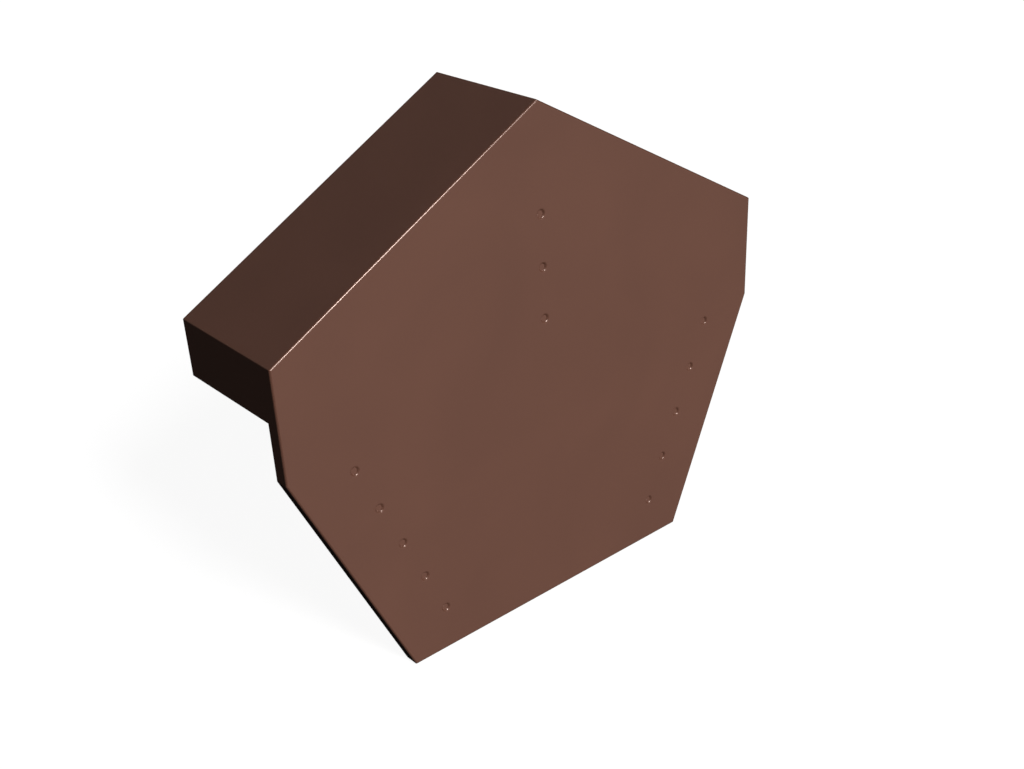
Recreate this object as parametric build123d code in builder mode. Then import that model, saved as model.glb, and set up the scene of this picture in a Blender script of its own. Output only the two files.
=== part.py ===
from build123d import *
import os
from math import radians, tan

# A dry verge ridge cap, moulded in one piece. A flat seven-sided face closes the gable end of the ridge,
# a shallow rim runs round its edge, and a hood reaches back over the last ridge tile.
# Millimetres and degrees. The rim's rear edge lies in the plane y = 0, +Y points into the roof and +Z up.

# Face outline, measured on the front
face_width = 281.0  # across the upright sides
face_height = 251.3  # from the bottom edge to the ridge
foot_width = 175.0  # along the bottom edge
lower_side_height = 120.5  # from the bottom edge to where the leaning sides turn upright
roof_pitch = 29.0  # slope of the hood's two roofs

# Hood, rim and wall
hood_depth = 70.0  # from the face to the hood's open end
skirt_height = 26.0  # of the hood's upright sides, below the roofs
rim_depth = 7.5  # from the face to the rim's rear edge
wall = 2.5
mould_draft = 1.1  # the outside and inside both widen towards the open end

# Edges
face_edge_radius = 1.0  # all round the face
hood_edge_radius = 0.5  # ridge, shoulders and the other corners that run back from the face
inside_radius = 1.0  # in the corners of the hollow

# Dimples that mark where fixing screws are drilled
dimple_floor_diameter = 3.0
dimple_depth = 0.9
dimple_wall_slope = 55.0  # of the dimple's wall, from the plane of the face
dimple_lip_radius = 1.3
dimple_pitch = 25.0
ridge_dimples = 3  # in a line below the ridge
ridge_dimple_drop = 50.6  # from the ridge to the first of them
verge_dimples = 5  # in a row along each leaning side
verge_dimple_start = 18.2  # along the side, from its upper corner to the first of them
verge_dimple_inset = 27.2  # from the side to the row

half_width = face_width / 2
half_foot = foot_width / 2
shoulder_height = face_height - half_width * tan(radians(roof_pitch))
hem_height = shoulder_height - skirt_height
face_plane = Plane.XZ.offset(rim_depth)
seat_plane = Plane.XZ
touching = 0.001  # how near an edge has to be to count as lying in a plane

# Where the dimples lie on the face, as (x, z)
lower_corner = Vector(half_width, lower_side_height)
down_side = (Vector(half_foot, 0) - lower_corner).normalized()
inwards = down_side.rotate(Axis.Z, -90)
row_start = lower_corner + down_side * verge_dimple_start + inwards * verge_dimple_inset
right_row = [row_start + down_side * (i * dimple_pitch) for i in range(verge_dimples)]
left_row = [Vector(-spot.X, spot.Y) for spot in right_row]
first_below_ridge = face_height - ridge_dimple_drop
ridge_row = [Vector(0, first_below_ridge - i * dimple_pitch) for i in range(ridge_dimples)]

dimple_floor_radius = dimple_floor_diameter / 2
dimple_mouth_radius = dimple_floor_radius + dimple_depth / tan(radians(dimple_wall_slope))


def corners_running_back(part, start_y):
    starting = part.edges().filter_by(lambda edge: abs(edge.bounding_box().min.Y - start_y) < touching)
    return starting.filter_by(lambda edge: edge.bounding_box().max.Y > start_y + touching)


with BuildPart() as ridge_cap:
    # The block that the face and the hood enclose
    with BuildSketch(face_plane):
        with BuildLine():
            Polyline(
                (0, face_height),
                (half_width, shoulder_height),
                (half_width, lower_side_height),
                (half_foot, 0),
                (-half_foot, 0),
                (-half_width, lower_side_height),
                (-half_width, shoulder_height),
                close=True,
            )
        make_face()
    extrude(amount=-hood_depth)
    draft(ridge_cap.faces().filter_by(Axis.Y, reverse=True), face_plane, mould_draft)

    # Hollowed from the open end
    offset(amount=-wall, openings=ridge_cap.faces().sort_by(Axis.Y)[-1])

    # Below the hem of the hood only the rim is left
    with BuildSketch(seat_plane):
        with Locations((0, hem_height)):
            Rectangle(2 * face_width, 2 * face_height, align=(Align.CENTER, Align.MAX))
    extrude(amount=-hood_depth, mode=Mode.SUBTRACT)

    # Outside edges
    fillet(corners_running_back(ridge_cap, -rim_depth), hood_edge_radius)
    fillet(ridge_cap.faces().sort_by(Axis.Y)[0].edges(), face_edge_radius)

    # Inside corners
    inside_y = wall - rim_depth
    facing_back = ridge_cap.faces().filter_by(Axis.Y)
    inside_face = facing_back.filter_by_position(Axis.Y, inside_y - touching, inside_y + touching)[0]
    fillet(inside_face.edges() + corners_running_back(ridge_cap, inside_y), inside_radius)

    # Dimples
    with Locations(face_plane):
        with Locations(*ridge_row, *left_row, *right_row):
            Cone(
                bottom_radius=dimple_floor_radius,
                top_radius=dimple_mouth_radius,
                height=dimple_depth,
                align=(Align.CENTER, Align.CENTER, Align.MAX),
                mode=Mode.SUBTRACT,
            )
    mouths = [wire.edge() for wire in ridge_cap.faces().sort_by(Axis.Y)[0].inner_wires()]
    fillet(mouths, dimple_lip_radius)

ridge_cap.part.label = "ridge_cap"
os.makedirs("parts", exist_ok=True)
export_step(ridge_cap.part, "parts/ridge_cap.step")
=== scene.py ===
import bpy
from math import pi, radians
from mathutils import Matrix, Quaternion, Vector


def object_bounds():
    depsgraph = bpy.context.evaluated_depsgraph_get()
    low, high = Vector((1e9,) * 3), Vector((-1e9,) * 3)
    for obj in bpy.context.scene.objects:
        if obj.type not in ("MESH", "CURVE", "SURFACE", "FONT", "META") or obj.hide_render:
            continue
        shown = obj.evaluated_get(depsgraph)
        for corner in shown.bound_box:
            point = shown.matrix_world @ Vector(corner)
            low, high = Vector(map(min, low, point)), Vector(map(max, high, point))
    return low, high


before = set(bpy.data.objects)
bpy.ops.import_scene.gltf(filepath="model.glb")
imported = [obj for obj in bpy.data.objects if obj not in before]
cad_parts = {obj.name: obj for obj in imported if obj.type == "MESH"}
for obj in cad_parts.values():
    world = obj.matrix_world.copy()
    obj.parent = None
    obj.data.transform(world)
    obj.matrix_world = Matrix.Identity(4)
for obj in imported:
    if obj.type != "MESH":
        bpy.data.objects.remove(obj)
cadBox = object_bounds()
print("frame loaded:", ", ".join(sorted(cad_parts)))


class Wire:  # a socket, so that shader maths reads as plain sums
    def __init__(self, graph, socket):
        self.graph = graph
        self.socket = socket

    def __add__(self, other):
        return self.graph.sum("ADD", self, other)

    def __sub__(self, other):
        return self.graph.sum("SUBTRACT", self, other)

    def __rsub__(self, other):
        return self.graph.sum("SUBTRACT", other, self)

    def __mul__(self, other):
        return self.graph.sum("MULTIPLY", self, other)

    __radd__ = __add__
    __rmul__ = __mul__

    def beside(self, name):  # another output of the same node
        return Wire(self.graph, self.socket.node.outputs[name])


class Graph:  # one node tree, emptied and built afresh
    def __init__(self, owner):
        owner.use_nodes = True
        self.tree = owner.node_tree
        self.tree.nodes.clear()

    def node(self, kind, settings, sockets, output=0):
        made = self.tree.nodes.new(kind)
        for name, value in settings.items():
            setattr(made, name, value)
        for name, value in sockets.items():
            if isinstance(value, Wire):
                self.tree.links.new(value.socket, made.inputs[name])
            else:
                made.inputs[name].default_value = value
        return Wire(self, made.outputs[output]) if made.outputs else None

    def sum(self, operation, first, second):
        return self.node("ShaderNodeMath", {"operation": operation}, {0: first, 1: second})

    def mixColour(self, share, first, second):
        settings = {"data_type": "RGBA"}  # its sockets go by number, as their names repeat
        return self.node("ShaderNodeMix", settings, {0: share, 6: first, 7: second}, output=2)


# Brown plastic, moulded right through: satin on the flats, where the tool is finely grained,
# and polished on the rounded edges and in the dimples
plastic = {
    "deepTone": (0.1298, 0.0583, 0.0403, 1),
    "paleTone": (0.1457, 0.0648, 0.0439, 1),
    "clouds": {"size": 0.065, "detail": 3, "distortion": 0.6},  # drifts in the pigment, sizes in m
    "cloudShift": (11.1, 6.3, 15.9),  # m, sets how they lie on the cap
    "cloudContrast": 1.5,
    "specks": {"size": 0.0009, "detail": 1},
    "speckContrast": 0.4,
    "grain": {"size": 0.00035, "detail": 2},
    "grainDepth": 0.000012,
    "grainStrength": 0.15,
    "ior": 1.58,
    "gleam": 1.0,  # strength of its highlights
    "gleamTint": (1.0, 0.77, 0.69, 1),
    "roughness": 0.62,  # of the flats
    "roughnessDrift": 0.05,
    "roughnessGrain": 0.04,
    "edgePolish": 0.35,  # taken off the roughness where the surface is rounded
    # Rounded places are told by how squarely they face front or back: 0 on the sides, 1 on the face
    "turnedFromSides": (0.05, 0.2),
    "turnedFromFace": (0.985, 0.93),
}


def brownPlastic():
    material = bpy.data.materials.new("brownPlastic")
    graph = Graph(material)
    place = graph.node("ShaderNodeTexCoord", {}, {}, output="Object")
    middle = 0.5  # of a noise's values, and between the two tones

    def noise(where, size, detail, distortion=0):
        sockets = {"Vector": where, "Scale": 1 / size, "Detail": detail, "Distortion": distortion}
        return graph.node("ShaderNodeTexNoise", {"noise_dimensions": "3D"}, sockets)

    def ramp(value, start, end):
        sockets = {"Value": value, "From Min": start, "From Max": end}
        return graph.node("ShaderNodeMapRange", {"interpolation_type": "SMOOTHSTEP"}, sockets)

    shift = {0: place, 1: plastic["cloudShift"]}
    cloudPlace = graph.node("ShaderNodeVectorMath", {"operation": "ADD"}, shift)
    clouds = noise(cloudPlace, **plastic["clouds"])
    specks = noise(place, **plastic["specks"])
    grain = noise(place, **plastic["grain"])

    cloudPigment = (clouds - middle) * plastic["cloudContrast"]
    speckPigment = (specks - middle) * plastic["speckContrast"]
    pigment = middle + cloudPigment + speckPigment
    tone = graph.mixColour(pigment, plastic["deepTone"], plastic["paleTone"])

    along = graph.node("ShaderNodeSeparateXYZ", {}, {"Vector": place.beside("Normal")}, output="Y")
    facing = graph.node("ShaderNodeMath", {"operation": "ABSOLUTE"}, {0: along})
    rounded = ramp(facing, *plastic["turnedFromSides"]) * ramp(facing, *plastic["turnedFromFace"])
    polish = rounded * plastic["edgePolish"]
    drift = (clouds - middle) * plastic["roughnessDrift"]
    roughness = plastic["roughness"] - polish + drift + (grain - middle) * plastic["roughnessGrain"]

    relief = {"Strength": plastic["grainStrength"], "Distance": plastic["grainDepth"]}
    bumps = graph.node("ShaderNodeBump", {}, {"Height": grain} | relief)
    look = {"Base Color": tone, "Roughness": roughness, "Normal": bumps, "IOR": plastic["ior"]}
    gleam = {"Specular IOR Level": plastic["gleam"], "Specular Tint": plastic["gleamTint"]}
    surface = graph.node("ShaderNodeBsdfPrincipled", {}, look | gleam)
    graph.node("ShaderNodeOutputMaterial", {}, {"Surface": surface})
    return material


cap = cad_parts["ridge_cap"]
cap.data.materials.clear()
cap.data.materials.append(brownPlastic())
print("plastic on the cap")

# White surroundings for the camera, and a low even light for the cap
surroundings = {
    "white": (1, 1, 1, 1),
    "ambient": (0.012, 0.012, 0.012, 1),
    "glossShare": 0.004,  # of that white in the plastic's gloss
}


def whiteShare(graph):  # how much of the white a ray meets
    camera = graph.node("ShaderNodeLightPath", {}, {}, output="Is Camera Ray")
    glossy = camera.beside("Is Glossy Ray") * surroundings["glossShare"]
    return camera + camera.beside("Is Transmission Ray") + glossy


def addSurroundings():
    world = bpy.data.worlds.new("surroundings")
    graph = Graph(world)
    colour = graph.mixColour(whiteShare(graph), surroundings["ambient"], surroundings["white"])
    light = graph.node("ShaderNodeBackground", {}, {"Color": colour})
    graph.node("ShaderNodeOutputWorld", {}, {"Surface": light})
    bpy.context.scene.world = world


addSurroundings()
print("surroundings set")

# Pale floor, white to the camera where no shadow falls
floorLook = {
    "drop": 0.0002,  # m below the cap's lowest point
    "halfSize": 8.0,  # m
    "glow": 0.92,  # white that the camera sees in the shadow too
    "shade": (0.20, 0.20, 0.20, 1),  # what the shadow takes away
    "bounce": (0.02, 0.02, 0.02, 1),  # what the cap gets back from it
}


def paleFloor():
    half = floorLook["halfSize"]
    height = cadBox[0].z - floorLook["drop"]
    square = ((-half, -half), (half, -half), (half, half), (-half, half))
    mesh = bpy.data.meshes.new("floor")
    mesh.from_pydata([(x, y, height) for x, y in square], [], [(0, 1, 2, 3)])
    floor = bpy.data.objects.new("floor", mesh)
    bpy.context.scene.collection.objects.link(floor)

    material = bpy.data.materials.new("paleFloor")
    graph = Graph(material)
    white = {"Color": surroundings["white"], "Strength": floorLook["glow"]}
    glow = graph.node("ShaderNodeEmission", {}, white)
    shade = graph.node("ShaderNodeBsdfDiffuse", {}, {"Color": floorLook["shade"]})
    bounce = graph.node("ShaderNodeBsdfDiffuse", {}, {"Color": floorLook["bounce"]})
    pale = graph.node("ShaderNodeAddShader", {}, {0: glow, 1: shade})
    surface = graph.node("ShaderNodeMixShader", {}, {0: whiteShare(graph), 1: bounce, 2: pale})
    graph.node("ShaderNodeOutputMaterial", {}, {"Surface": surface})
    mesh.materials.append(material)
    return floor


paleFloor()
print("floor laid")

# Soft studio lamps, each far off and given by the way to it from the cap
# Spread is in degrees, and glare says whether the lamp shows in the gloss
lamps = {
    "key": {"towards": (-0.045, -0.80, 0.60), "level": 0.70, "spread": 14, "glare": True},
    "fill": {"towards": (0.06, -1.0, 0.08), "level": 0.493, "spread": 6, "glare": False},
    "rear": {"towards": (0.36, 0.90, 0.18), "level": 0.50, "spread": 30, "glare": False},
}


def addLamp(name, lamp):
    data = bpy.data.lights.new(name, "SUN")
    data.energy = pi * lamp["level"]  # a level of 1 shows a colour as it is written
    data.angle = radians(lamp["spread"])
    made = bpy.data.objects.new(name, data)
    made.rotation_euler = Vector(lamp["towards"]).to_track_quat("Z", "Y").to_euler()
    made.visible_glossy = lamp["glare"]
    bpy.context.scene.collection.objects.link(made)


for lampName, lampSpec in lamps.items():
    addLamp(lampName, lampSpec)

print("lamps lit:", ", ".join(lamps))

# Camera, in front of the cap, to its left and above it
viewpoint = {
    "place": (-0.33481, -0.39965, 0.37826),
    "aim": (-0.02134, -0.0075, 0.12455),  # on the face, in the middle of the picture
    "roll": -2.974,  # degrees
    "lens": 43.291,  # mm
    "sensorWidth": 36,  # mm
    "clipStart": 0.01,  # m
}


def addCamera():
    data = bpy.data.cameras.new("viewpoint")
    data.sensor_width = viewpoint["sensorWidth"]
    data.lens = viewpoint["lens"]
    data.clip_start = viewpoint["clipStart"]
    camera = bpy.data.objects.new("viewpoint", data)
    camera.location = viewpoint["place"]
    look = Vector(viewpoint["aim"]) - Vector(viewpoint["place"])
    camera.rotation_mode = "QUATERNION"
    turn = Quaternion((0, 0, 1), radians(viewpoint["roll"]))
    camera.rotation_quaternion = look.to_track_quat("-Z", "Y") @ turn
    bpy.context.scene.collection.objects.link(camera)
    bpy.context.scene.camera = camera


addCamera()
bpy.context.scene.view_settings.view_transform = "Standard"
print("camera set")
